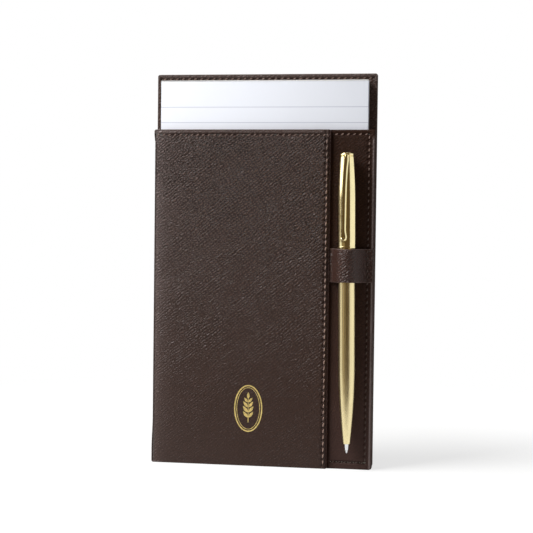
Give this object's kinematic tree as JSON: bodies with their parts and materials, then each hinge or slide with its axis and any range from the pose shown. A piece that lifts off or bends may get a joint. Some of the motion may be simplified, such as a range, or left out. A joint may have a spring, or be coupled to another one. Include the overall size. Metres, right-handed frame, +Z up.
{
  "type": "leather note holder",
  "caption": "Upright leather-covered note holder: a stiff back board and front pocket hold a ruled note pad, and a twist-action metal pen slides in a leather loop.",
  "frame": {"origin": "middle of the base, on the surface that the holder stands on, halfway across the back board and halfway between its rear face and the main panel's front", "axes": "+X to the right as seen from the front, +Y away from the viewer, towards the back lining, +Z up along the tall side"},
  "size_m": [0.105, 0.0227, 0.184],
  "materials": {
    "leather": "dark brown pebble-grained leather, semi-gloss, worn smooth low down",
    "dark_leather": "darker brown grained leather, semi-matt",
    "loop_leather": "dark brown grained leather, cut edges painted",
    "lining": "dark brown suede-like lining",
    "greyboard": "matt grey board",
    "lined_board": "board lined with dark paper",
    "padding": "felt padding",
    "paper": "white writing paper with faint ruled lines",
    "card": "grey backing card",
    "pad_glue": "white padding glue",
    "polished_brass": "polished pale gold plating",
    "satin_brass": "lengthwise brushed pale gold plating",
    "plain_brass": "turned brass",
    "steel": "bright turned steel",
    "ink_tube": "drawn brass tube"
  },
  "bodies": {
    "holder": {"back_cover_leather": "leather", "back_board_core": "greyboard", "back_lining": "lining", "left_side_leather": "leather", "left_side_board": "lined_board", "right_side_leather": "leather", "right_side_board": "lined_board", "base_leather": "leather", "pocket_floor_board": "lined_board", "pocket_front_leather": "dark_leather", "pocket_board": "greyboard", "pocket_lining": "lining", "main_panel_leather": "leather", "main_panel_padding": "padding", "pen_loop": "loop_leather"},
    "note_pad": {"pad_sheets": "paper", "pad_backing_card": "card", "pad_glue_edge": "pad_glue"},
    "pen_upper": {"pen_upper_barrel": "polished_brass", "pen_end_cap": "polished_brass", "pen_clip": "polished_brass", "pen_cam_sleeve": "plain_brass"},
    "pen_lower": {"pen_lower_barrel": "satin_brass", "pen_slotted_sleeve": "plain_brass"},
    "refill": {"refill_tube": "ink_tube", "refill_point": "steel", "refill_carrier": "steel"}
  },
  "joints": [
    {"name": "note_pad_slide", "type": "slide", "parent": "holder", "child": "note_pad", "axis": [0, 0, 1], "range_m": [0, 0.153]},
    {"name": "pen_slide", "type": "slide", "parent": "holder", "child": "pen_upper", "axis": [-0.012, 0, 0.9999], "range_m": [0, 0.095]},
    {"name": "pen_twist", "type": "hinge", "parent": "pen_upper", "child": "pen_lower", "pos_m": [0.04164, -0.00952, 0.00826], "axis": [-0.012, 0, 0.9999], "range_deg": [0, 180]},
    {"name": "refill_slide", "type": "slide", "parent": "pen_lower", "child": "refill", "axis": [-0.012, 0, 0.9999], "range_m": [0, 0.005]}
  ],
  "couplings": [
    {"joint": "refill_slide", "follows": "pen_twist", "m_per_rad": 0.0015915}
  ]
}
